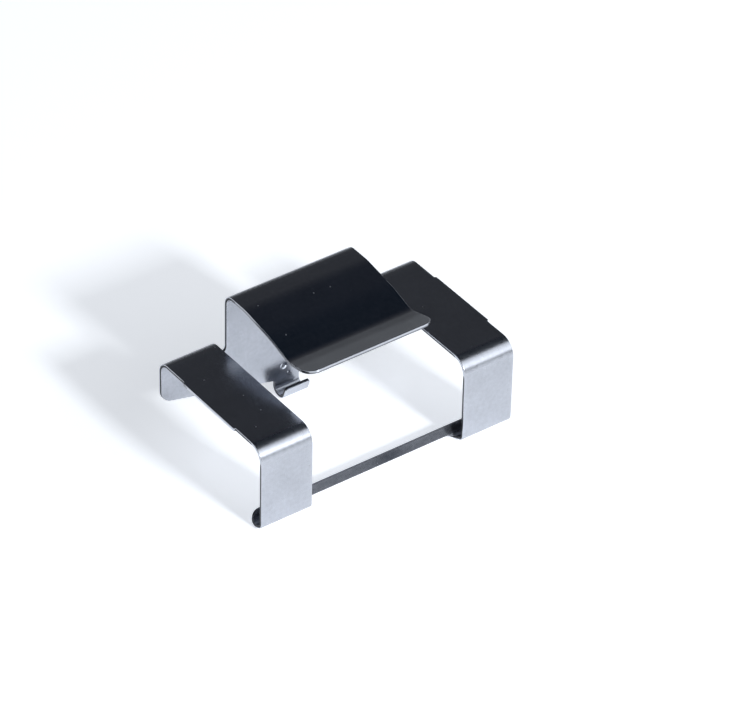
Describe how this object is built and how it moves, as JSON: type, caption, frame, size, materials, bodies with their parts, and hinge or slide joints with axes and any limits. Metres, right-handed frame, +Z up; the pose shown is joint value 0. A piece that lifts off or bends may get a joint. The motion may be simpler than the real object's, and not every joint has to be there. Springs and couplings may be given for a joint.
{
  "type": "window screen clip",
  "caption": "Folded sheet metal clip that bridges a screen frame in its channel, with curled legs, a hem bar, a sprung hood with a turned-up lip and a small hook.",
  "frame": {"origin": "on the surface that the clip stands on, midway across the clip and midway between the outer faces of the legs and of the back plate", "axes": "+X across the clip along its widest side, +Y from the legs to the back plate, +Z up from the curls and the hook to the hood"},
  "size_m": [0.0452, 0.026, 0.022],
  "materials": {
    "spring_steel": "bare rolled strip with a satin sheen"
  },
  "bodies": {
    "root": {"screen_clip": "spring_steel"}
  },
  "joints": []
}
